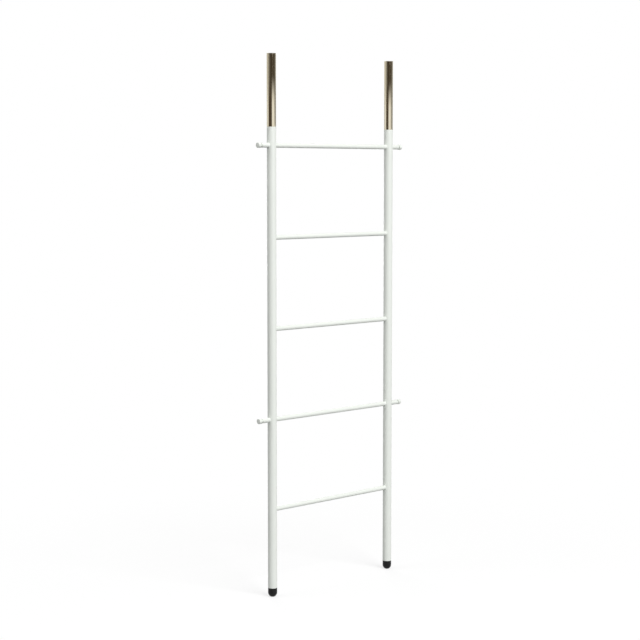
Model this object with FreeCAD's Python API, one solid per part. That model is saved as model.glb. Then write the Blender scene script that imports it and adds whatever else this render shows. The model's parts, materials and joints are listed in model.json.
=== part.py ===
# Towel ladder of round steel tube: two rails, five rungs, plated tips and domed rubber feet.
# Millimetres, +Z up. The origin is on the floor, midway between the two rails.
# X runs along the rungs, and the front of the ladder faces -Y.
import FreeCAD, Part
import math
import os

# Rails: the long white tubes.
rail_diameter = 25.4
rail_wall = 1.5
rail_length = 1270.0
rail_spacing = 466.5
tube_edge_break = 0.3

# Rungs: evenly spaced between the lowest, by its rise over the rail's lower end, and the top one, by its
# drop under the rail's upper end.
rung_diameter = 13.0
rung_wall = 1.0
lowest_rung_rise = 220.0
top_rung_drop = 50.0
rung_names = ["bottom_rung", "fourth_rung", "third_rung", "second_rung", "top_rung"]
pegged_rungs = {"fourth_rung": "lower", "top_rung": "upper"}

# Pegs: the ends of two rungs that stand out past the rails, from the rail's axis to the knob's face.
peg_reach = 52.0

# Knobs: turned ends pressed into the pegs.
knob_diameter = 14.5
knob_length = 9.5
knob_edge_chamfer = 1.2
knob_back_chamfer = 0.5
knob_groove_width = 3.0
knob_groove_diameter = 7.5
knob_flange_thickness = 1.2
knob_stem_length = 14.0
knob_stem_chamfer = 1.0

# Tips: the plated tubes on top of the rails.
tip_length = 195.0

# Tip caps: pressed cups that close the tips.
tip_cap_thickness = 2.0
tip_cap_edge_chamfer = 0.6
tip_cap_skirt_length = 10.0
tip_cap_skirt_wall = 1.5

# Tip joiners: rolled sleeves with a lengthwise slit, half in the rail and half in the tip.
joiner_length = 70.0
joiner_wall = 1.5
joiner_slit = 3.0
joiner_chamfer = 0.8

# Feet: domed rubber ends with a barbed stem that is pushed into the rail.
foot_height = 25.0
foot_sole_diameter = 8.0
foot_edge_break = 0.4
foot_stem_diameter = 18.0
foot_stem_length = 25.0
foot_stem_neck = 3.0
foot_barb_count = 3
foot_bore_diameter = 10.0
foot_bore_depth = 22.0

# Rung screws: countersunk, with a hexagon socket, from the back of the rail.
screw_diameter = 4.0
screw_length = 16.0
screw_head_diameter = 7.6
screw_head_lip = 0.3
screw_point_chamfer = 0.6
screw_socket_width = 2.5
screw_socket_depth = 1.4
screw_socket_sides = 6

# Rung plugs: short bars in the rung ends that the screws bite into.
plug_length = 17.0
plug_chamfer = 0.5

# Clearances, each on one side.
press_gap = 0.1
screw_gap = 0.25
thread_gap = 0.05
rung_end_gap = 0.3
cut_overrun = 5.0

# Worked out from the sizes above.
rail_radius = rail_diameter / 2
rail_bore_radius = rail_radius - rail_wall
rung_radius = rung_diameter / 2
rung_bore_radius = rung_radius - rung_wall
knob_radius = knob_diameter / 2
screw_radius = screw_diameter / 2
screw_head_radius = screw_head_diameter / 2
rail_axis_x = rail_spacing / 2
rail_bottom_z = foot_height
rail_top_z = rail_bottom_z + rail_length
tip_top_z = rail_top_z + tip_length
rung_pitch = (rail_length - lowest_rung_rise - top_rung_drop) / (len(rung_names) - 1)
rung_z = {name: rail_bottom_z + lowest_rung_rise + i * rung_pitch for i, name in enumerate(rung_names)}
peg_tube_end_x = rail_axis_x + peg_reach - knob_length - knob_groove_width - knob_flange_thickness
blind_rung_end_x = rail_axis_x + math.sqrt(rail_bore_radius ** 2 - rung_radius ** 2) - rung_end_gap
screw_top_y = math.sqrt(rail_radius ** 2 - screw_head_radius ** 2)
sides = {"left": -1, "right": 1}

origin = FreeCAD.Vector(0, 0, 0)
x_axis = FreeCAD.Vector(1, 0, 0)
y_axis = FreeCAD.Vector(0, 1, 0)
z_axis = FreeCAD.Vector(0, 0, 1)
right_angle = 90
full_turn = 360


def point(radius, height):
    """A point of a profile that is turned about Z."""
    return FreeCAD.Vector(radius, 0, height)


def line(start, end):
    return Part.LineSegment(start, end).toShape()


def axis_arc(start, end):
    """An arc between two profile points about a centre on the axis, which turns into part of a sphere."""
    gap = end.z - start.z
    center = point(0, (end.z + start.z) / 2 + (end.x ** 2 - start.x ** 2) / (2 * gap))
    middle = (start - center) + (end - center)
    middle.normalize()
    return Part.Arc(start, center + middle * start.distanceToPoint(center), end).toShape()


def profile_lines(corners):
    """Straight edges from corner to corner, given as pairs of radius and height."""
    points = [point(radius, height) for radius, height in corners]
    return [line(a, b) for a, b in zip(points, points[1:])]


def turned(edges):
    """The solid that a closed profile sweeps about Z."""
    face = Part.Face(Part.Wire(edges))
    return face.revolve(origin, z_axis, full_turn)


def turned_polygon(corners):
    """The solid swept by straight lines through the corners, given as pairs of radius and height."""
    return turned(profile_lines(corners + corners[:1]))


def tube(outer_radius, bore_radius, length, edge_break):
    """A tube from z = 0 with both outer edges broken."""
    return turned_polygon([
        (bore_radius, 0),
        (outer_radius - edge_break, 0),
        (outer_radius, edge_break),
        (outer_radius, length - edge_break),
        (outer_radius - edge_break, length),
        (bore_radius, length),
    ])


def bar(radius, length, chamfer):
    """A solid bar from z = 0 with chamfered ends."""
    return turned_polygon([
        (0, 0),
        (radius - chamfer, 0),
        (radius, chamfer),
        (radius, length - chamfer),
        (radius - chamfer, length),
        (0, length),
    ])


def laid_along_x(shape, start_x, z):
    """A shape that stands on Z, laid down along +X from start_x."""
    laid = shape.copy()
    laid.rotate(origin, y_axis, right_angle)
    laid.translate(FreeCAD.Vector(start_x, 0, z))
    return laid


def raised(shape, x, z):
    moved = shape.copy()
    moved.translate(FreeCAD.Vector(x, 0, z))
    return moved


def mirrored(shape):
    return shape.mirror(origin, x_axis)


def on_side(shape, side):
    """A shape made for the right rail, or its mirror image for the left one."""
    return shape if side > 0 else mirrored(shape)


def screw_seat():
    """The countersunk hole for one screw through the back wall of a rail, along Y."""
    cone_top_y = screw_top_y - screw_head_lip
    cone_depth = screw_head_radius - screw_radius
    head_space = Part.makeCylinder(
        screw_head_radius, cut_overrun, FreeCAD.Vector(0, cone_top_y, 0), y_axis)
    cone = Part.makeCone(
        screw_radius, screw_head_radius, cone_depth,
        FreeCAD.Vector(0, cone_top_y - cone_depth, 0), y_axis)
    shank_space = Part.makeCylinder(screw_radius + screw_gap, screw_top_y, origin, y_axis)
    return head_space.fuse([cone, shank_space])


def make_rail():
    """The right rail: a tube drilled on its inner side for each rung, and right through for the pegs."""
    rail = raised(
        tube(rail_radius, rail_bore_radius, rail_length, tube_edge_break), rail_axis_x, rail_bottom_z)
    hole_radius = rung_radius + press_gap
    reach = rail_radius + cut_overrun
    cuts = []
    for name, z in rung_z.items():
        far_x = reach if name in pegged_rungs else 0
        drill = Part.makeCylinder(hole_radius, reach + far_x)
        cuts.append(laid_along_x(drill, rail_axis_x - reach, z))
        cuts.append(raised(screw_seat(), rail_axis_x, z))
    return rail.cut(cuts)


def make_rung(name):
    """A rung with a cross hole for the screw in its back wall at each rail."""
    end_x = peg_tube_end_x if name in pegged_rungs else blind_rung_end_x
    rung = laid_along_x(
        tube(rung_radius, rung_bore_radius, 2 * end_x, tube_edge_break), -end_x, rung_z[name])
    drill = Part.makeCylinder(screw_radius + screw_gap, rung_radius + cut_overrun, origin, y_axis)
    return rung.cut([raised(drill, side * rail_axis_x, rung_z[name]) for side in sides.values()])


def make_knob():
    """A turned knob that stands on Z: plain stem, flange on the tube's end, groove and chamfered head."""
    stem_radius = rung_bore_radius - press_gap
    groove_radius = knob_groove_diameter / 2
    head_base = knob_flange_thickness + knob_groove_width
    face_top = head_base + knob_length
    return turned_polygon([
        (0, -knob_stem_length),
        (stem_radius - knob_stem_chamfer, -knob_stem_length),
        (stem_radius, knob_stem_chamfer - knob_stem_length),
        (stem_radius, 0),
        (rung_radius, 0),
        (rung_radius, knob_flange_thickness),
        (groove_radius, knob_flange_thickness),
        (groove_radius, head_base),
        (knob_radius - knob_back_chamfer, head_base),
        (knob_radius, head_base + knob_back_chamfer),
        (knob_radius, face_top - knob_edge_chamfer),
        (knob_radius - knob_edge_chamfer, face_top),
        (0, face_top),
    ])


def make_tip():
    return raised(tube(rail_radius, rail_bore_radius, tip_length, tube_edge_break), rail_axis_x, rail_top_z)


def make_tip_cap():
    """A cup pressed into the top of a tip, with a flat lid of the tube's own diameter."""
    skirt_radius = rail_bore_radius - press_gap
    hollow_radius = skirt_radius - tip_cap_skirt_wall
    cap = turned_polygon([
        (0, 0),
        (hollow_radius, 0),
        (hollow_radius, -tip_cap_skirt_length),
        (skirt_radius, -tip_cap_skirt_length),
        (skirt_radius, 0),
        (rail_radius, 0),
        (rail_radius, tip_cap_thickness - tip_cap_edge_chamfer),
        (rail_radius - tip_cap_edge_chamfer, tip_cap_thickness),
        (0, tip_cap_thickness),
    ])
    return raised(cap, rail_axis_x, tip_top_z)


def make_tip_joiner():
    """A spring sleeve, slit along its back, centred on the seam between rail and tip."""
    outer_radius = rail_bore_radius - press_gap
    sleeve = tube(outer_radius, outer_radius - joiner_wall, joiner_length, joiner_chamfer)
    slit = Part.makeBox(
        joiner_slit, outer_radius + cut_overrun, joiner_length, FreeCAD.Vector(-joiner_slit / 2, 0, 0))
    return raised(sleeve.cut(slit), rail_axis_x, rail_top_z - joiner_length / 2)


def make_foot():
    """A rubber foot: round dome with a small flat sole, straight side that meets the rail's end, and a
    hollow stem whose barbs are steep below and slope inward above."""
    sole_radius = foot_sole_diameter / 2
    stem_radius = foot_stem_diameter / 2
    bore_radius = foot_bore_diameter / 2
    barb_radius = rail_bore_radius - press_gap
    dome_rise = math.sqrt(rail_radius ** 2 - sole_radius ** 2)
    stem_top = foot_height + foot_stem_length
    barbs_base = foot_height + foot_stem_neck
    barb_pitch = (stem_top - barbs_base) / foot_barb_count
    corners = [
        (rail_radius, dome_rise),
        (rail_radius, foot_height - foot_edge_break),
        (rail_radius - foot_edge_break, foot_height),
        (stem_radius, foot_height),
        (stem_radius, barbs_base),
    ]
    for i in range(foot_barb_count):
        corners += [(barb_radius, barbs_base + i * barb_pitch), (stem_radius, barbs_base + (i + 1) * barb_pitch)]
    corners += [
        (bore_radius, stem_top),
        (bore_radius, stem_top - foot_bore_depth),
        (0, stem_top - foot_bore_depth),
        (0, 0),
        (sole_radius, 0),
    ]
    dome = axis_arc(point(sole_radius, 0), point(rail_radius, dome_rise))
    return raised(turned([dome] + profile_lines(corners)), rail_axis_x, 0)


def make_screw():
    """A countersunk screw that stands along Y, its head flush with the back of the rail."""
    head_radius = screw_head_radius - thread_gap
    cone_end = screw_radius - head_radius - screw_head_lip
    screw = turned_polygon([
        (0, 0),
        (head_radius, 0),
        (head_radius, -screw_head_lip),
        (screw_radius, cone_end),
        (screw_radius, screw_point_chamfer - screw_length),
        (screw_radius - screw_point_chamfer, -screw_length),
        (0, -screw_length),
    ])
    corner_turn = 2 * math.pi / screw_socket_sides
    corner_radius = screw_socket_width / 2 / math.cos(corner_turn / 2)
    corners = [
        FreeCAD.Vector(corner_radius * math.cos(turn), corner_radius * math.sin(turn), -screw_socket_depth)
        for turn in [i * corner_turn for i in range(screw_socket_sides)]]
    rim = Part.makePolygon(corners + corners[:1])
    socket = Part.Face(rim).extrude(z_axis * (screw_socket_depth + cut_overrun))
    screw = screw.cut(socket)
    screw.rotate(origin, x_axis, -right_angle)
    screw.translate(FreeCAD.Vector(0, screw_top_y, 0))
    return screw


def make_plug():
    """A bar that fills a rung's end across the rail, with a cross hole for the screw."""
    plug = laid_along_x(bar(rung_bore_radius - press_gap, plug_length, plug_chamfer), -plug_length / 2, 0)
    depth = screw_length - screw_top_y
    hole = Part.makeCylinder(
        screw_radius + thread_gap, rung_radius + depth + cut_overrun,
        FreeCAD.Vector(0, -depth - thread_gap, 0), y_axis)
    return plug.cut(hole)


def at_crossings(shape):
    """One copy of a shape at each crossing of a rail and a rung, as a group of separate solids."""
    places = [(side * rail_axis_x, z) for side in sides.values() for z in rung_z.values()]
    return Part.makeCompound([raised(shape, x, z) for x, z in places])


def make_nodes():
    """Every piece of the ladder under its own name."""
    nodes = {}
    knob = make_knob()
    for side_name, side in sides.items():
        nodes[side_name + "_rail"] = on_side(make_rail(), side)
        nodes[side_name + "_tip"] = on_side(make_tip(), side)
        nodes[side_name + "_tip_cap"] = on_side(make_tip_cap(), side)
        nodes[side_name + "_tip_joiner"] = on_side(make_tip_joiner(), side)
        nodes[side_name + "_foot"] = on_side(make_foot(), side)
        for rung_name, level in pegged_rungs.items():
            placed = laid_along_x(knob, peg_tube_end_x, rung_z[rung_name])
            nodes[level + "_" + side_name + "_knob"] = on_side(placed, side)
    for name in rung_names:
        nodes[name] = make_rung(name)
    nodes["rung_screws"] = at_crossings(make_screw())
    nodes["rung_plugs"] = at_crossings(make_plug())
    return nodes


os.makedirs("parts", exist_ok=True)
for node_name, shape in make_nodes().items():
    shape.exportStep("parts/" + node_name + ".step")
    print(node_name, len(shape.Solids), "solids", round(shape.Volume), "mm3", shape.isValid())
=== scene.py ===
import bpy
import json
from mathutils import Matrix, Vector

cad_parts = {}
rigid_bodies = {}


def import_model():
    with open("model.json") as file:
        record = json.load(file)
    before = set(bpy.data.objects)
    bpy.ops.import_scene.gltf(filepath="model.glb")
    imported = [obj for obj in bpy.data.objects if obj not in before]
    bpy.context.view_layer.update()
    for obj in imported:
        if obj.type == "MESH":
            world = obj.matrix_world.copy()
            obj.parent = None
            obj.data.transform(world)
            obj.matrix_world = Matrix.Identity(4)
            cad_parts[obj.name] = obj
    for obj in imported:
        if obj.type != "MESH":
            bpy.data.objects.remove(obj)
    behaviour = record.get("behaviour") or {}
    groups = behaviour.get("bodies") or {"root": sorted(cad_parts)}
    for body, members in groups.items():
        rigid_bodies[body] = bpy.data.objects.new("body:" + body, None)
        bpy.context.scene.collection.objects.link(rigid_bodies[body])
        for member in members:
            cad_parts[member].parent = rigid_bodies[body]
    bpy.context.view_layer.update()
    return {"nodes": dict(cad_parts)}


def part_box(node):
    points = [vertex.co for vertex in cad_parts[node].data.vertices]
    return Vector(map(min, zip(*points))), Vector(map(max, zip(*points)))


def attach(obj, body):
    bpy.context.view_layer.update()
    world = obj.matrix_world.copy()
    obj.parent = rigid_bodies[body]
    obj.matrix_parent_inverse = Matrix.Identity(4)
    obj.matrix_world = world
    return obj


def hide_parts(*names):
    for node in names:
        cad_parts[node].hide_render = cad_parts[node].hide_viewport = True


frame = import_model()

import json
import math

import bmesh
import bpy
from bpy.props import FloatProperty, FloatVectorProperty, IntProperty, PointerProperty
from mathutils import Matrix, Vector

bl_info = {
    "name": "Towel Ladder",
    "version": (1, 0, 0),
    "blender": (4, 5, 0),
    "location": "3D View > Sidebar > Ladder",
    "description": "Dresses a leaning towel ladder of white tube with brass tips and rubber feet",
    "category": "Object",
}

# One millimetre in the frame's metres.
MM = 0.001
SIDES = ("left", "right")
RUNGS = ("bottom_rung", "fourth_rung", "third_rung", "second_rung", "top_rung")
KNOBS = ("upper_left_knob", "upper_right_knob", "lower_left_knob", "lower_right_knob")

# Steps round a wide tube, round a rung or knob, round a screw, and along a rounded edge.
TURN_STEPS = 96
SMALL_TURN_STEPS = 64
SCREW_TURN_STEPS = 32
ARC_STEPS = 5
# A rounding takes up at most this share of each side of its corner.
ROUNDING_SHARE = 0.45
# Walls that meet at more than this angle keep a crisp edge.
SHARP_ANGLE = math.radians(32)
# Points closer than this, in metres, are one point.
WELD = 2e-6
# A point lies on a wall if it is as close as this to it, in metres.
ON_WALL = 0.01 * MM
# A rail's wall is divided this many hole radii above and below each rung, so that cuts stay local.
CUT_MARGIN = 1.5
# Most of a noise texture's values lie in this range.
NOISE_SPAN = {"From Min": 0.3, "From Max": 0.7}

# The camera's place in metres, its way from the ladder in degrees, and its lens.
CAMERA_PLACE = (-3.37107, -3.32363, 1.17139)
CAMERA_AZIMUTH, CAMERA_ELEVATION = -45.0, 5.023
LENS_MM, SENSOR_MM, CLIP_END = 94.353, 36.0, 100.0
# The light that the world gives the ladder, as a share of the white that the camera sees.
WORLD_LIGHT = 0.39
# The floor's radius, where its shadow begins to fade and is gone, and the share that it darkens.
FLOOR_RADIUS, SHADOW_FADES, SHADOW_GONE, SHADOW_SHARE = 7.0, 0.5, 1.5, 0.3
# Each lamp's way from the target in degrees, its distance and size in metres, and its watts.
LAMP_TARGET = Vector((0, 0, 0.75))
LAMPS = (
    ("key_softbox", -8, 33, 10.0, 6.1, 875.0),
    ("fill_softbox", -115, 42, 5.0, 3.0, 46.0),
    ("back_softbox", 150, 12, 6.5, 3.5, 130.0),
)
# The ring of cloth: its radius, its lower and upper edge, and where its soft edge turns solid.
RING, RING_LOW, RING_TOP, RING_SOFT = 1.5, 1.325, 2.6, 1.605
# The way along which the ring grows paler, and the distances at which it is dark and pale.
TONE_WAY, TONE_DARK, TONE_PALE = (0.34, 0.94, 0.0), -1.3, 0.8
# The floor plans of the dark flag and of the pale card, and the card's lower edge.
FLAG_LINE = ((-1.62, 0.80), (-1.65, -0.30), (-1.01, -1.24))
CARD_LINE = (
    (0.70, -1.40), (1.33, -0.85), (1.58, 0.0), (1.45, 0.75), (0.90, 1.35), (0.0, 1.62),
    (-0.90, 1.35),
)
CARD_LOW = 1.2


def linear(hex_colour):
    """An sRGB hex colour as the linear values that shaders take."""
    shares = [int(hex_colour[i:i + 2], 16) / 255 for i in (1, 3, 5)]
    return tuple(s / 12.92 if s <= 0.04045 else ((s + 0.055) / 1.055) ** 2.4 for s in shares)


def length(name, description, millimetres):
    """A length that a user may change, shown in the scene's unit."""
    return FloatProperty(
        name=name, description=description, default=millimetres * MM, min=0.0, unit="LENGTH",
        precision=5)


def colour(name, description, hex_colour):
    """A colour that a user may change."""
    return FloatVectorProperty(
        name=name, description=description, default=linear(hex_colour), min=0.0, max=1.0, size=3,
        subtype="COLOR")


class LadderSizes(bpy.types.PropertyGroup):
    """Sizes of the walls, edges and small forms. The overall sizes come from the frame."""

    rail_wall: length("Rail wall", "Wall of the rails and of the tips", 1.5)
    rung_wall: length("Rung wall", "Wall of the rungs", 1.0)
    tube_edge: length("Tube edge", "Rounding of the cut ends of rails, rungs and stems", 0.3)
    rung_hole_gap: length("Rung hole gap", "Room around a rung in its hole", 0.1)
    knob_edge: length("Knob edge", "Rounding of a knob's outer face", 1.2)
    knob_back_edge: length("Knob back edge", "Rounding of the edge behind a knob's head", 0.5)
    knob_head: length("Knob head", "Length of a knob's head", 9.5)
    knob_groove: length("Knob groove", "Width of the groove behind a knob's head", 3.0)
    knob_neck: length("Knob neck", "Diameter at the bottom of the groove", 7.5)
    knob_flange: length("Knob flange", "Thickness of the flange on the end of the rung", 1.2)
    cap_lid: length("Cap lid", "Thickness of the lid on a tip", 2.0)
    tip_edge: length("Tip edge", "Rounding of the cut ends of a tip", 0.08)
    cap_edge: length("Cap edge", "Rounding of the lid's upper edge", 0.15)
    cap_seam: length("Cap seam", "Rounding of the lid's lower edge and of the skirt", 0.06)
    cap_skirt_wall: length("Cap skirt wall", "Wall of the skirt inside a tip", 1.5)
    press_gap: length("Press gap", "Room on each side of a pressed-in piece", 0.1)
    foot_height: length("Foot height", "Height of the part of a foot under the rail", 25.0)
    foot_sole: length("Foot sole", "Diameter of the flat under a foot", 8.0)
    foot_edge: length("Foot edge", "Rounding of a foot's edge at the rail", 0.4)
    foot_stem: length("Foot stem", "Diameter of a foot's stem between its barbs", 18.0)
    foot_neck: length("Foot neck", "Plain length of stem under the first barb", 3.0)
    foot_bore: length("Foot bore", "Diameter of the hole in a foot's stem", 10.0)
    foot_bore_depth: length("Foot bore depth", "Depth of the hole in a foot's stem", 22.0)
    foot_barbs: IntProperty(
        name="Foot barbs", description="Barbs on a foot's stem", default=3, min=1, max=8)
    screw_shank: length("Screw shank", "Diameter of a rung screw", 4.0)
    screw_head: length("Screw head", "Diameter of a rung screw's head", 7.5)
    screw_seat: length("Screw seat", "Diameter of the countersunk seat of a screw", 7.6)
    screw_lip: length("Screw lip", "Straight rim of a screw's head", 0.3)
    screw_length: length("Screw length", "Length of a rung screw", 16.0)
    screw_gap: length("Screw gap", "Room around a screw in its hole", 0.25)
    socket_width: length("Socket width", "Width across the flats of a screw's socket", 2.5)
    socket_depth: length("Socket depth", "Depth of a screw's socket", 1.4)


class LadderColours(bpy.types.PropertyGroup):
    """Colours of the finishes and of the stage."""

    coat: colour("Powder coat", "Full film of the white powder coat", "#F0F4EE")
    coat_thin: colour("Thin coat", "Powder coat where its film is thinner", "#EAEEE8")
    brass: colour("Brass", "Polished brass plating", "#E4DCC7")
    brass_warm: colour("Warm brass", "Brass under a thicker lacquer", "#DDD2B8")
    rubber: colour("Rubber", "Black moulded rubber", "#09090A")
    rubber_bloom: colour("Rubber bloom", "Rubber with a faint grey bloom", "#121212")
    zinc: colour("Zinc", "Bright zinc plate", "#C4C8CB")
    zinc_tint: colour("Zinc tint", "Zinc plate with a thicker passivation", "#B9BFC9")
    nylon: colour("Nylon", "Natural moulded nylon", "#E8E5DA")
    floor: colour("Floor", "Light that the floor gives back near the ladder", "#828282")
    floor_far: colour("Far floor", "Light that the floor gives back further away", "#626262")
    ring_dark: colour("Dark cloth", "Cloth that the brass mirrors in front", "#645A4C")
    ring_pale: colour("Pale cloth", "Cloth that the brass mirrors behind", "#EAE8E2")
    flag: colour("Flag", "Dark cloth that the brass mirrors low on the left", "#74685A")
    card: colour("Card", "Pale card that the brass mirrors low on the right", "#EAEAE9")


def add_node(tree, kind, inputs=None, **settings):
    """Adds a node, gives it its settings, and fills its inputs with values or links."""
    node = tree.nodes.new(kind)
    for key, value in settings.items():
        setattr(node, key, value)
    for socket, value in (inputs or {}).items():
        if isinstance(value, bpy.types.NodeSocket):
            tree.links.new(value, node.inputs[socket])
        else:
            node.inputs[socket].default_value = value
    return node


def finish_of(draw, colours):
    """The material that a function draws. It has that function's name, and is drawn once."""
    material = bpy.data.materials.get(draw.__name__)
    if material is None:
        material = bpy.data.materials.new(draw.__name__)
        material.use_nodes = True
        tree = material.node_tree
        tree.nodes.clear()
        shader = draw(tree, colours)
        add_node(tree, "ShaderNodeOutputMaterial", {"Surface": shader.outputs[0]})
    return material


def cells_per_metre(millimetres):
    """The texture scale that gives a pattern of this real size."""
    return 1 / (millimetres * MM)


def satin_white_powder_coat(tree, colours):
    """White polyester powder, sprayed and baked: satin, with a soft orange peel that loosens
    highlights and broad patches where the film is a little thinner."""
    place = add_node(tree, "ShaderNodeTexCoord").outputs["Object"]
    film = add_node(tree, "ShaderNodeTexNoise", {
        "Vector": place, "Scale": cells_per_metre(70), "Detail": 2.0, "Roughness": 0.5})
    tone = add_node(tree, "ShaderNodeMix", {
        "Factor": film.outputs["Fac"], "A": (*colours.coat, 1), "B": (*colours.coat_thin, 1)},
        data_type="RGBA")
    sheen = add_node(tree, "ShaderNodeMapRange", {
        "Value": film.outputs["Fac"], **NOISE_SPAN, "To Min": 0.36, "To Max": 0.46})
    # Real peel is about 1 mm wide; it is drawn at twice that, so that it shows from two metres.
    peel = add_node(tree, "ShaderNodeTexNoise", {
        "Vector": place, "Scale": cells_per_metre(2.2), "Detail": 1.5, "Roughness": 0.45})
    skin = add_node(tree, "ShaderNodeBump", {
        "Height": peel.outputs["Fac"], "Strength": 0.5, "Distance": 0.25 * MM})
    return add_node(tree, "ShaderNodeBsdfPrincipled", {
        "Base Color": tone.outputs["Result"], "Roughness": sheen.outputs["Result"],
        "Normal": skin.outputs["Normal"], "IOR": 1.5})


def polished_brass_plating(tree, colours):
    """Brass plating, buffed round the tube and lacquered: a near mirror that draws long soft
    bands, with faint rings from the buffing wheel and a warmer tint under thicker lacquer."""
    place = add_node(tree, "ShaderNodeTexCoord").outputs["Object"]
    lacquer = add_node(tree, "ShaderNodeTexNoise", {
        "Vector": place, "Scale": cells_per_metre(45), "Detail": 2.0, "Roughness": 0.5})
    tint = add_node(tree, "ShaderNodeMix", {
        "Factor": lacquer.outputs["Fac"], "A": (*colours.brass, 1),
        "B": (*colours.brass_warm, 1)}, data_type="RGBA")
    # The buffing lines are some 0.2 mm apart; at 1.6 mm apart they show in a close view.
    around, along = cells_per_metre(60), cells_per_metre(1.6)
    drawn_out = add_node(tree, "ShaderNodeMapping", {
        "Vector": place, "Scale": (around, around, along)})
    rings = add_node(tree, "ShaderNodeTexNoise", {
        "Vector": drawn_out.outputs["Vector"], "Scale": 1.0, "Detail": 3.0, "Roughness": 0.6})
    gloss = add_node(tree, "ShaderNodeMapRange", {
        "Value": rings.outputs["Fac"], **NOISE_SPAN, "To Min": 0.06, "To Max": 0.09})
    skin = add_node(tree, "ShaderNodeBump", {
        "Height": rings.outputs["Fac"], "Strength": 0.06, "Distance": 0.05 * MM})
    return add_node(tree, "ShaderNodeBsdfPrincipled", {
        "Base Color": tint.outputs["Result"], "Metallic": 1.0,
        "Roughness": gloss.outputs["Result"], "Normal": skin.outputs["Normal"]})


def moulded_black_rubber(tree, colours):
    """Black rubber from a fine-blasted mould: half matt, with a soft upright light, a low grain
    and a faint grey bloom in patches."""
    place = add_node(tree, "ShaderNodeTexCoord").outputs["Object"]
    bloom = add_node(tree, "ShaderNodeTexNoise", {
        "Vector": place, "Scale": cells_per_metre(9), "Detail": 3.0, "Roughness": 0.6})
    tone = add_node(tree, "ShaderNodeMix", {
        "Factor": bloom.outputs["Fac"], "A": (*colours.rubber, 1),
        "B": (*colours.rubber_bloom, 1)}, data_type="RGBA")
    matt = add_node(tree, "ShaderNodeMapRange", {
        "Value": bloom.outputs["Fac"], **NOISE_SPAN, "To Min": 0.36, "To Max": 0.48})
    # The blasted grain is about 0.2 mm wide; at 0.9 mm it shows in a close view.
    grain = add_node(tree, "ShaderNodeTexNoise", {
        "Vector": place, "Scale": cells_per_metre(0.9), "Detail": 2.0, "Roughness": 0.6})
    skin = add_node(tree, "ShaderNodeBump", {
        "Height": grain.outputs["Fac"], "Strength": 0.6, "Distance": 0.12 * MM})
    return add_node(tree, "ShaderNodeBsdfPrincipled", {
        "Base Color": tone.outputs["Result"], "Roughness": matt.outputs["Result"],
        "Normal": skin.outputs["Normal"], "IOR": 1.52, "Specular IOR Level": 0.2})


def bright_zinc_plate(tree, colours):
    """Steel with bright zinc plate: a cool grey metal, cloudy where the passivation dried
    unevenly, in clouds some 3 mm wide."""
    place = add_node(tree, "ShaderNodeTexCoord").outputs["Object"]
    cloud = add_node(tree, "ShaderNodeTexNoise", {
        "Vector": place, "Scale": cells_per_metre(3), "Detail": 3.0, "Roughness": 0.55})
    tone = add_node(tree, "ShaderNodeMix", {
        "Factor": cloud.outputs["Fac"], "A": (*colours.zinc, 1), "B": (*colours.zinc_tint, 1)},
        data_type="RGBA")
    gloss = add_node(tree, "ShaderNodeMapRange", {
        "Value": cloud.outputs["Fac"], **NOISE_SPAN, "To Min": 0.24, "To Max": 0.38})
    skin = add_node(tree, "ShaderNodeBump", {
        "Height": cloud.outputs["Fac"], "Strength": 0.1, "Distance": 0.05 * MM})
    return add_node(tree, "ShaderNodeBsdfPrincipled", {
        "Base Color": tone.outputs["Result"], "Metallic": 1.0,
        "Roughness": gloss.outputs["Result"], "Normal": skin.outputs["Normal"]})


def natural_moulded_nylon(tree, colours):
    """Undyed moulded nylon: milky white, half matt, with flow marks some 4 mm wide and light
    coming a little way into it."""
    place = add_node(tree, "ShaderNodeTexCoord").outputs["Object"]
    flow = add_node(tree, "ShaderNodeTexNoise", {
        "Vector": place, "Scale": cells_per_metre(4), "Detail": 2.0, "Roughness": 0.5})
    matt = add_node(tree, "ShaderNodeMapRange", {
        "Value": flow.outputs["Fac"], **NOISE_SPAN, "To Min": 0.38, "To Max": 0.5})
    skin = add_node(tree, "ShaderNodeBump", {
        "Height": flow.outputs["Fac"], "Strength": 0.1, "Distance": 0.1 * MM})
    return add_node(tree, "ShaderNodeBsdfPrincipled", {
        "Base Color": (*colours.nylon, 1), "Roughness": matt.outputs["Result"],
        "Normal": skin.outputs["Normal"], "IOR": 1.53, "Subsurface Weight": 0.2,
        "Subsurface Scale": 1.5 * MM})


def background_rays(tree):
    """One for rays that show the background: seen, mirrored or through glass."""
    path = add_node(tree, "ShaderNodeLightPath")
    mirrored = add_node(tree, "ShaderNodeMath", {
        0: path.outputs["Is Camera Ray"], 1: path.outputs["Is Glossy Ray"]}, operation="MAXIMUM")
    through = add_node(tree, "ShaderNodeMath", {
        0: mirrored.outputs[0], 1: path.outputs["Is Transmission Ray"]}, operation="MAXIMUM")
    return through.outputs[0]


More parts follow.
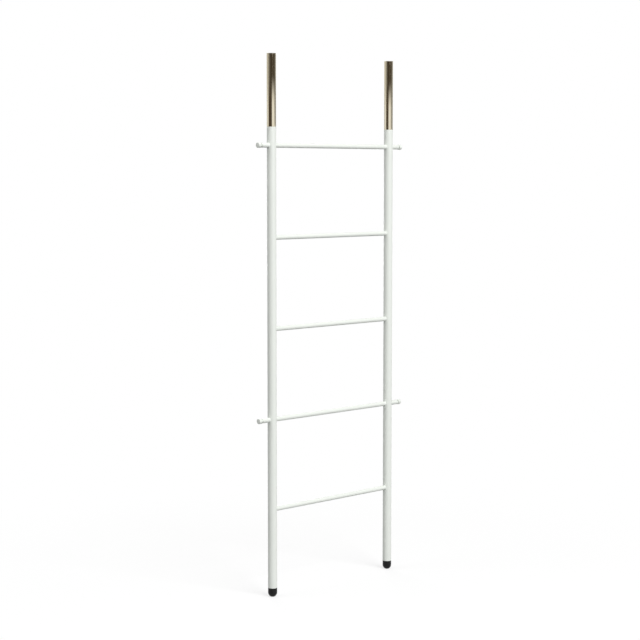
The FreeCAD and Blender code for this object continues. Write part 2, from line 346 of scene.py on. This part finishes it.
def matt_pale_floor(tree, colours):
    """Matt studio floor: white with the ladder's soft shadow for rays that show the background,
    and a mid grey for the light that bounces off it, which keeps undersides shaded."""
    place = add_node(tree, "ShaderNodeTexCoord").outputs["Object"]
    away = add_node(tree, "ShaderNodeVectorMath", {0: place}, operation="LENGTH")
    fade = add_node(tree, "ShaderNodeMapRange", {
        "Value": away.outputs["Value"], "From Min": SHADOW_FADES, "From Max": SHADOW_GONE,
        "To Min": 0.0, "To Max": 1.0}, interpolation_type="SMOOTHSTEP")
    given_back = add_node(tree, "ShaderNodeMix", {
        "Factor": fade.outputs["Result"], "A": (*colours.floor, 1),
        "B": (*colours.floor_far, 1)}, data_type="RGBA")
    bounce = add_node(tree, "ShaderNodeBsdfDiffuse", {"Color": given_back.outputs["Result"]})
    shaded = add_node(tree, "ShaderNodeBsdfDiffuse", {
        "Color": (SHADOW_SHARE, SHADOW_SHARE, SHADOW_SHARE, 1)})
    lift = add_node(tree, "ShaderNodeEmission", {
        "Color": (1, 1, 1, 1), "Strength": 1 - SHADOW_SHARE})
    near = add_node(tree, "ShaderNodeAddShader", {0: shaded.outputs[0], 1: lift.outputs[0]})
    far = add_node(tree, "ShaderNodeEmission", {"Color": (1, 1, 1, 1), "Strength": 1.0})
    white = add_node(tree, "ShaderNodeMixShader", {
        0: fade.outputs["Result"], 1: near.outputs[0], 2: far.outputs[0]})
    return add_node(tree, "ShaderNodeMixShader", {
        0: background_rays(tree), 1: bounce.outputs[0], 2: white.outputs[0]})


def graded_cloth(tree, colours):
    """Matt cloth whose tone rises from the dark front to the pale back, and whose lower edge
    fades away, so that a mirror shows soft bands."""
    place = add_node(tree, "ShaderNodeTexCoord").outputs["Object"]
    back = add_node(tree, "ShaderNodeVectorMath", {0: place, 1: TONE_WAY}, operation="DOT_PRODUCT")
    share = add_node(tree, "ShaderNodeMapRange", {
        "Value": back.outputs["Value"], "From Min": TONE_DARK, "From Max": TONE_PALE,
        "To Min": 0.0, "To Max": 1.0}, interpolation_type="SMOOTHSTEP")
    tone = add_node(tree, "ShaderNodeMix", {
        "Factor": share.outputs["Result"], "A": (*colours.ring_dark, 1),
        "B": (*colours.ring_pale, 1)}, data_type="RGBA")
    cloth = add_node(tree, "ShaderNodeBsdfDiffuse", {"Color": tone.outputs["Result"]})
    height = add_node(tree, "ShaderNodeSeparateXYZ", {0: place})
    solid = add_node(tree, "ShaderNodeMapRange", {
        "Value": height.outputs["Z"], "From Min": RING_LOW, "From Max": RING_SOFT,
        "To Min": 0.0, "To Max": 1.0}, interpolation_type="SMOOTHSTEP")
    nothing = add_node(tree, "ShaderNodeBsdfTransparent")
    return add_node(tree, "ShaderNodeMixShader", {
        0: solid.outputs["Result"], 1: nothing.outputs[0], 2: cloth.outputs[0]})


def dark_cloth(tree, colours):
    """Matt dark cloth, plain because only mirrors see it."""
    return add_node(tree, "ShaderNodeBsdfDiffuse", {"Color": (*colours.flag, 1)})


def pale_card(tree, colours):
    """Matt pale card, plain because only mirrors see it."""
    return add_node(tree, "ShaderNodeBsdfDiffuse", {"Color": (*colours.card, 1)})


def softened(corners, closed=False):
    """A profile of (radius, height, rounding) corners with each rounding drawn as a short arc."""
    count = len(corners)
    points = []
    for i, (radius, height, rounding) in enumerate(corners):
        here = Vector((radius, height))
        ends_here = not closed and i in (0, count - 1)
        if rounding <= 0 or ends_here:
            points.append(here)
            continue
        before = Vector(corners[i - 1][:2]) - here
        after = Vector(corners[(i + 1) % count][:2]) - here
        half = before.angle(after) / 2
        longest = ROUNDING_SHARE * min(before.length, after.length)
        run = min(rounding / math.tan(half), longest)
        reach = run * math.tan(half)
        inward = (before.normalized() + after.normalized()).normalized()
        centre = here + inward * reach / math.sin(half)
        first = here + before.normalized() * run - centre
        last = here + after.normalized() * run - centre
        for step in range(ARC_STEPS + 1):
            spoke = first.lerp(last, step / ARC_STEPS)
            points.append(centre + spoke.normalized() * reach)
    return points


def tube_profile(outer, bore, low, high, edge, divisions=()):
    """A tube's closed profile, with rounded outer edges and divisions of its outer wall."""
    corners = [(bore, low, 0), (outer, low, edge)]
    corners += [(outer, height, 0) for height in sorted(divisions)]
    corners += [(outer, high, edge), (bore, high, 0)]
    return softened(corners, closed=True)


def drill_profile(radius, low, high):
    """The profile of a plain drill."""
    return [(0, low), (radius, low), (radius, high), (0, high)]


def as_mesh(bm):
    """A mesh from a bmesh, which is used up."""
    mesh = bpy.data.meshes.new("form")
    bm.to_mesh(mesh)
    bm.free()
    return mesh


def turned(profile, steps, closed=False):
    """A mesh swept about Z by a profile of (radius, height) points, with a clean seam and poles."""
    bm = bmesh.new()
    line = [bm.verts.new((radius, 0, height)) for radius, height in profile]
    pairs = list(zip(line, line[1:]))
    if closed:
        pairs.append((line[-1], line[0]))
    edges = [bm.edges.new(pair) for pair in pairs]
    # The spin's small rounding keeps points of two forms off exact common lines. With rings at
    # exact angles in its place, a cut sometimes came back inside out.
    bmesh.ops.spin(
        bm, geom=line + edges, cent=(0, 0, 0), axis=(0, 0, 1), angle=2 * math.pi, steps=steps,
        use_merge=True)
    bmesh.ops.remove_doubles(bm, verts=bm.verts, dist=WELD)
    bmesh.ops.recalc_face_normals(bm, faces=bm.faces)
    return as_mesh(bm)


def upright(x):
    """Stands a turned form on the floor plan at x."""
    return Matrix.Translation((x, 0, 0))


def along_x(x, z, side=1):
    """Lays a turned form along X from (x, 0, z), outward on the given side."""
    return Matrix.Translation((x, 0, z)) @ Matrix.Rotation(side * math.pi / 2, 4, "Y")


def along_y(x, z):
    """Lays a turned form along Y, its height running towards the back of the ladder."""
    return Matrix.Translation((x, 0, z)) @ Matrix.Rotation(-math.pi / 2, 4, "X")


def joined(forms):
    """One mesh from (mesh, matrix) forms. A form may come more than once, and all are used up."""
    whole = bmesh.new()
    for form, matrix in forms:
        copy = form.copy()
        copy.transform(matrix)
        whole.from_mesh(copy)
        bpy.data.meshes.remove(copy)
    for form in {form for form, matrix in forms}:
        bpy.data.meshes.remove(form)
    return as_mesh(whole)


def cut_away(mesh, *cutters):
    """Cuts each cutter out of a mesh in turn, and returns the result. All are used up."""
    shown = bpy.context.scene.collection.objects
    body = bpy.data.objects.new("body", mesh)
    shown.link(body)
    tools = [bpy.data.objects.new("tool", cutter) for cutter in cutters]
    for tool in tools:
        shown.link(tool)
        step = body.modifiers.new("cut", "BOOLEAN")
        step.operation, step.solver, step.object = "DIFFERENCE", "EXACT", tool
    depsgraph = bpy.context.evaluated_depsgraph_get()
    result = bpy.data.meshes.new_from_object(body.evaluated_get(depsgraph))
    for made in (body, *tools):
        used = made.data
        bpy.data.objects.remove(made)
        bpy.data.meshes.remove(used)
    if not result.polygons:
        raise RuntimeError("A cut left nothing of its piece")
    welded = bmesh.new()
    welded.from_mesh(result)
    bmesh.ops.remove_doubles(welded, verts=welded.verts, dist=WELD)
    welded.to_mesh(result)
    welded.free()
    return result


def wall_normals(mesh, x, radius):
    """Gives an upright tube's outer wall the true normals of a cylinder, also around its holes."""
    normals = [Vector(corner.vector) for corner in mesh.corner_normals]
    for face in mesh.polygons:
        spokes = []
        for i in face.vertices:
            place = mesh.vertices[i].co
            spokes.append(Vector((place.x - x, place.y, 0)))
        if all(abs(spoke.length - radius) < ON_WALL for spoke in spokes):
            for loop, spoke in zip(face.loop_indices, spokes):
                normals[loop] = spoke.normalized()
    mesh.normals_split_custom_set(normals)


def place_piece(name, mesh, material, node):
    """Shows a mesh in place of a CAD node, smooth with crisp edges, and lets it ride."""
    mesh.name = name
    mesh.shade_smooth()
    mesh.set_sharp_from_angle(angle=SHARP_ANGLE)
    mesh.materials.clear()
    mesh.materials.append(material)
    piece = bpy.data.objects.new(name, mesh)
    bpy.context.scene.collection.objects.link(piece)
    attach(piece, "root")
    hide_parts(node)


def middle(node):
    """The middle of a node's box."""
    low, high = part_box(node)
    return (low + high) / 2


def rail_radius():
    """The outer radius of the rails, tips and feet."""
    low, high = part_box("left_rail")
    return (high.y - low.y) / 2


def rung_radius():
    """The outer radius of the rungs."""
    low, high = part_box("top_rung")
    return (high.z - low.z) / 2


class LADDER_OT_rails(bpy.types.Operator):
    """Builds both rails as drilled tubes, with a countersunk seat behind each rung"""

    bl_idname = "ladder.rails"
    bl_label = "Rails"

    def execute(self, context):
        sizes, colours = context.scene.ladder_sizes, context.scene.ladder_colours
        coat = finish_of(satin_white_powder_coat, colours)
        radius = rail_radius()
        outside = 2 * radius
        hole = rung_radius() + sizes.rung_hole_gap
        seat, shank = sizes.screw_seat / 2, sizes.screw_shank / 2 + sizes.screw_gap
        seat_top = math.sqrt(radius ** 2 - seat ** 2) - sizes.screw_lip
        seat_profile = [
            (0, hole), (shank, hole), (shank, seat_top - seat + shank), (seat, seat_top),
            (seat, outside), (0, outside)]
        levels = [middle(rung).z for rung in RUNGS]
        divisions = [z + way * CUT_MARGIN * hole for z in levels for way in (-1, 1)]
        for side in SIDES:
            node = side + "_rail"
            low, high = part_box(node)
            x = middle(node).x
            inward = -1 if x > 0 else 1
            tube = turned(tube_profile(
                radius, radius - sizes.rail_wall, low.z, high.z, sizes.tube_edge, divisions),
                TURN_STEPS, closed=True)
            tube.transform(upright(x))
            drills = []
            for rung, z in zip(RUNGS, levels):
                ends = [corner.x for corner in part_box(rung)]
                through = min(ends) < x - radius if x < 0 else max(ends) > x + radius
                drill = turned(
                    drill_profile(hole, -outside if through else 0, outside), SMALL_TURN_STEPS)
                drills.append((drill, along_x(x, z, inward)))
            sinker = turned(seat_profile, SMALL_TURN_STEPS)
            seats = joined([(sinker, along_y(x, z)) for z in levels])
            mesh = cut_away(tube, joined(drills), seats)
            place_piece(node + "_tube", mesh, coat, node)
            wall_normals(mesh, x, radius)
        return {"FINISHED"}


class LADDER_OT_rungs(bpy.types.Operator):
    """Builds the five rungs as tubes with a cross hole for each screw"""

    bl_idname = "ladder.rungs"
    bl_label = "Rungs"

    def execute(self, context):
        sizes, colours = context.scene.ladder_sizes, context.scene.ladder_colours
        coat = finish_of(satin_white_powder_coat, colours)
        radius = rung_radius()
        shank = sizes.screw_shank / 2 + sizes.screw_gap
        for node in RUNGS:
            low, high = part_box(node)
            z = middle(node).z
            tube = turned(tube_profile(
                radius, radius - sizes.rung_wall, low.x, high.x, sizes.tube_edge),
                SMALL_TURN_STEPS, closed=True)
            tube.transform(along_x(0, z))
            drill = turned(drill_profile(shank, 0, 2 * radius), SCREW_TURN_STEPS)
            drills = joined([(drill, along_y(middle(side + "_rail").x, z)) for side in SIDES])
            mesh = cut_away(tube, drills)
            place_piece(node + "_tube", mesh, coat, node)
        return {"FINISHED"}


class LADDER_OT_knobs(bpy.types.Operator):
    """Turns the four peg knobs, each with a stem, a flange, a groove and a rounded head"""

    bl_idname = "ladder.knobs"
    bl_label = "Knobs"

    def execute(self, context):
        sizes, colours = context.scene.ladder_sizes, context.scene.ladder_colours
        coat = finish_of(satin_white_powder_coat, colours)
        flange = rung_radius()
        stem = flange - sizes.rung_wall - sizes.press_gap
        neck = sizes.knob_neck / 2
        soft = sizes.tube_edge
        for node in KNOBS:
            low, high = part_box(node)
            side = 1 if high.x > 0 else -1
            face = high.x if side > 0 else -low.x
            root = low.x if side > 0 else -high.x
            head = (high.z - low.z) / 2
            head_base = face - sizes.knob_head
            flange_top = head_base - sizes.knob_groove
            flange_base = flange_top - sizes.knob_flange
            mesh = turned(softened([
                (0, root, 0), (stem, root, soft), (stem, flange_base, 0),
                (flange, flange_base, soft), (flange, flange_top, soft),
                (neck, flange_top, soft), (neck, head_base, soft),
                (head, head_base, sizes.knob_back_edge), (head, face, sizes.knob_edge),
                (0, face, 0),
            ]), SMALL_TURN_STEPS)
            mesh.transform(along_x(0, middle(node).z, side))
            place_piece(node + "_turned", mesh, coat, node)
        return {"FINISHED"}


class LADDER_OT_tips(bpy.types.Operator):
    """Builds the two plated tips and the pressed caps that close them"""

    bl_idname = "ladder.tips"
    bl_label = "Tips and caps"

    def execute(self, context):
        sizes, colours = context.scene.ladder_sizes, context.scene.ladder_colours
        brass = finish_of(polished_brass_plating, colours)
        radius = rail_radius()
        bore = radius - sizes.rail_wall
        skirt = bore - sizes.press_gap
        hollow = skirt - sizes.cap_skirt_wall
        for side in SIDES:
            node = side + "_tip"
            low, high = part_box(node)
            place = upright(middle(node).x)
            tube = turned(
                tube_profile(radius, bore, low.z, high.z, sizes.tip_edge), TURN_STEPS, closed=True)
            tube.transform(place)
            place_piece(node + "_tube", tube, brass, node)
            cap_node = side + "_tip_cap"
            cap_low, cap_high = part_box(cap_node)
            seam = cap_high.z - sizes.cap_lid
            cap = turned(softened([
                (0, seam, 0), (hollow, seam, 0), (hollow, cap_low.z, 0),
                (skirt, cap_low.z, sizes.cap_seam), (skirt, seam, 0),
                (radius, seam, sizes.cap_seam), (radius, cap_high.z, sizes.cap_edge),
                (0, cap_high.z, 0),
            ]), TURN_STEPS)
            cap.transform(place)
            place_piece(cap_node + "_cup", cap, brass, cap_node)
        return {"FINISHED"}


class LADDER_OT_feet(bpy.types.Operator):
    """Moulds the two domed rubber feet with their barbed stems"""

    bl_idname = "ladder.feet"
    bl_label = "Feet"

    def execute(self, context):
        sizes, colours = context.scene.ladder_sizes, context.scene.ladder_colours
        rubber = finish_of(moulded_black_rubber, colours)
        radius = rail_radius()
        sole, stem, bore = sizes.foot_sole / 2, sizes.foot_stem / 2, sizes.foot_bore / 2
        barb = radius - sizes.rail_wall - sizes.press_gap
        rise = math.sqrt(radius ** 2 - sole ** 2)
        start = math.acos(sole / radius)
        dome_steps = 3 * ARC_STEPS
        dome = []
        for i in range(dome_steps + 1):
            angle = start * (1 - i / dome_steps)
            dome.append((radius * math.cos(angle), rise - radius * math.sin(angle), 0))
        top = sizes.foot_height
        barbs_base = top + sizes.foot_neck
        for side in SIDES:
            node = side + "_foot"
            low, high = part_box(node)
            bore_floor = high.z - sizes.foot_bore_depth
            pitch = (high.z - barbs_base) / sizes.foot_barbs
            barbs = []
            for i in range(sizes.foot_barbs):
                barbs += [
                    (barb, barbs_base + i * pitch, 0), (stem, barbs_base + (i + 1) * pitch, 0)]
            mesh = turned(softened([
                (0, low.z, 0), *dome, (radius, top, sizes.foot_edge),
                (stem, top, 0), (stem, barbs_base, 0), *barbs,
                (bore, high.z, 0), (bore, bore_floor, 0), (0, bore_floor, 0),
            ]), TURN_STEPS)
            mesh.transform(upright(middle(node).x))
            place_piece(node + "_dome", mesh, rubber, node)
        return {"FINISHED"}


class LADDER_OT_screws(bpy.types.Operator):
    """Builds the ten countersunk rung screws with their hexagon sockets"""

    bl_idname = "ladder.screws"
    bl_label = "Rung screws"

    def execute(self, context):
        sizes, colours = context.scene.ladder_sizes, context.scene.ladder_colours
        top = math.sqrt(rail_radius() ** 2 - (sizes.screw_seat / 2) ** 2)
        head, shank = sizes.screw_head / 2, sizes.screw_shank / 2
        lip_base = top - sizes.screw_lip
        neck = lip_base - head + shank
        point = top - sizes.screw_length
        soft = sizes.screw_lip / 3
        screw = turned(softened([
            (0, point, 0), (shank, point, 2 * sizes.screw_lip), (shank, neck, soft),
            (head, lip_base, soft), (head, top, soft), (0, top, 0)]), SCREW_TURN_STEPS)
        flats = 6
        corner = sizes.socket_width / 2 / math.cos(math.pi / flats)
        socket_floor = top - sizes.socket_depth
        # The socket ends in the shallow cone that its drill leaves.
        socket = turned([
            (0, socket_floor - corner / 3), (corner, socket_floor), (corner, top + corner),
            (0, top + corner)], flats)
        one = cut_away(screw, socket)
        mesh = joined([
            (one, along_y(middle(side + "_rail").x, middle(rung).z))
            for side in SIDES for rung in RUNGS])
        place_piece(
            "rung_screws_set", mesh, finish_of(bright_zinc_plate, colours),
            "rung_screws")
        return {"FINISHED"}


class LADDER_OT_inner_pieces(bpy.types.Operator):
    """Gives the joiners and plugs inside the tubes their own finishes"""

    bl_idname = "ladder.inner_pieces"
    bl_label = "Inner pieces"

    def execute(self, context):
        colours = context.scene.ladder_colours
        finishes = {side + "_tip_joiner": bright_zinc_plate for side in SIDES}
        finishes["rung_plugs"] = natural_moulded_nylon
        for node, draw in finishes.items():
            mesh = frame["nodes"][node].data
            mesh.materials.clear()
            mesh.materials.append(finish_of(draw, colours))
        return {"FINISHED"}


class LADDER_OT_stage(bpy.types.Operator):
    """Sets the camera, the white world, the pale floor, the cloths for the brass and the lamps"""

    bl_idname = "ladder.stage"
    bl_label = "Stage"

    def execute(self, context):
        scene, colours = context.scene, context.scene.ladder_colours
        scene.view_settings.view_transform = "Standard"
        self.set_camera(scene)
        self.set_world(scene)
        self.set_floor(scene, colours)
        self.hang_cloths(scene, colours)
        self.set_lamps(scene)
        return {"FINISHED"}

    def way_out(self, azimuth, elevation):
        """The way from the ladder to a place on the stage. Its angles are in degrees."""
        turn, lift = math.radians(azimuth), math.radians(elevation)
        return Vector((
            math.sin(turn) * math.cos(lift), -math.cos(turn) * math.cos(lift), math.sin(lift)))

    def facing_in(self, place, out):
        """A matrix that stands at a place and faces back along the way out."""
        return Matrix.LocRotScale(Vector(place), (-out).to_track_quat("-Z", "Y"), None)

    def show(self, scene, name, mesh, material):
        """Shows a piece of the stage."""
        mesh.name = name
        mesh.materials.append(material)
        piece = bpy.data.objects.new(name, mesh)
        scene.collection.objects.link(piece)
        return piece

    def set_camera(self, scene):
        lens = bpy.data.cameras.new("camera")
        lens.sensor_width, lens.lens, lens.clip_end = SENSOR_MM, LENS_MM, CLIP_END
        camera = bpy.data.objects.new("camera", lens)
        scene.collection.objects.link(camera)
        out = self.way_out(CAMERA_AZIMUTH, CAMERA_ELEVATION)
        camera.matrix_world = self.facing_in(CAMERA_PLACE, out)
        scene.camera = camera

    def set_world(self, scene):
        world = bpy.data.worlds.new("white_studio")
        world.use_nodes = True
        tree = world.node_tree
        tree.nodes.clear()
        strength = add_node(tree, "ShaderNodeMix", {
            "Factor": background_rays(tree), "A": WORLD_LIGHT, "B": 1.0})
        glow = add_node(tree, "ShaderNodeBackground", {
            "Color": (1, 1, 1, 1), "Strength": strength.outputs["Result"]})
        add_node(tree, "ShaderNodeOutputWorld", {"Surface": glow.outputs["Background"]})
        scene.world = world

    def set_floor(self, scene, colours):
        bm = bmesh.new()
        bmesh.ops.create_circle(bm, cap_ends=True, radius=FLOOR_RADIUS, segments=TURN_STEPS)
        self.show(scene, "floor", as_mesh(bm), finish_of(matt_pale_floor, colours))

    def hang_cloths(self, scene, colours):
        """Hangs strips of cloth that only mirrors see, so that the brass shows a room and not
        plain white: a graded ring, a dark flag low on the left, and a pale card low on the right
        and behind."""
        turns = [2 * math.pi * i / TURN_STEPS for i in range(TURN_STEPS + 1)]
        ring = [(RING * math.sin(turn), -RING * math.cos(turn)) for turn in turns]
        for name, line, low, high, draw in (
                ("graded_ring", ring, RING_LOW, RING_TOP, graded_cloth),
                ("low_dark_flag", FLAG_LINE, 0.0, RING_SOFT, dark_cloth),
                ("low_pale_card", CARD_LINE, CARD_LOW, RING_SOFT, pale_card)):
            bm = bmesh.new()
            pairs = [[bm.verts.new((x, y, z)) for z in (low, high)] for x, y in line]
            for (low_a, high_a), (low_b, high_b) in zip(pairs, pairs[1:]):
                bm.faces.new((low_a, low_b, high_b, high_a))
            strip = self.show(scene, name, as_mesh(bm), finish_of(draw, colours))
            strip.visible_camera = strip.visible_diffuse = strip.visible_shadow = False

    def set_lamps(self, scene):
        for name, azimuth, elevation, distance, size, power in LAMPS:
            lamp = bpy.data.lights.new(name, "AREA")
            lamp.size, lamp.energy = size, power
            softbox = bpy.data.objects.new(name, lamp)
            scene.collection.objects.link(softbox)
            out = self.way_out(azimuth, elevation)
            softbox.matrix_world = self.facing_in(LAMP_TARGET + out * distance, out)
            softbox.visible_camera = False


class LADDER_PT_panel(bpy.types.Panel):
    """Lists the pieces of the ladder and their sizes and colours"""

    bl_idname = "LADDER_PT_panel"
    bl_label = "Towel Ladder"
    bl_space_type = "VIEW_3D"
    bl_region_type = "UI"
    bl_category = "Ladder"

    def draw(self, context):
        for operator in OPERATORS:
            self.layout.operator(operator.bl_idname)
        for group in (context.scene.ladder_sizes, context.scene.ladder_colours):
            box = self.layout.box()
            for key in group.__annotations__:
                box.prop(group, key)


OPERATORS = (
    LADDER_OT_rails, LADDER_OT_rungs, LADDER_OT_knobs, LADDER_OT_tips, LADDER_OT_feet,
    LADDER_OT_screws, LADDER_OT_inner_pieces, LADDER_OT_stage)
CLASSES = (LadderSizes, LadderColours, *OPERATORS, LADDER_PT_panel)


def register():
    for cls in CLASSES:
        bpy.utils.register_class(cls)
    bpy.types.Scene.ladder_sizes = PointerProperty(type=LadderSizes)
    bpy.types.Scene.ladder_colours = PointerProperty(type=LadderColours)


def unregister():
    del bpy.types.Scene.ladder_sizes
    del bpy.types.Scene.ladder_colours
    for cls in reversed(CLASSES):
        bpy.utils.unregister_class(cls)


def main():
    register()
    bpy.ops.ladder.rails()
    bpy.ops.ladder.rungs()
    bpy.ops.ladder.knobs()
    bpy.ops.ladder.tips()
    bpy.ops.ladder.feet()
    bpy.ops.ladder.screws()
    bpy.ops.ladder.inner_pieces()
    bpy.ops.ladder.stage()


if __name__ == "__main__":
    main()
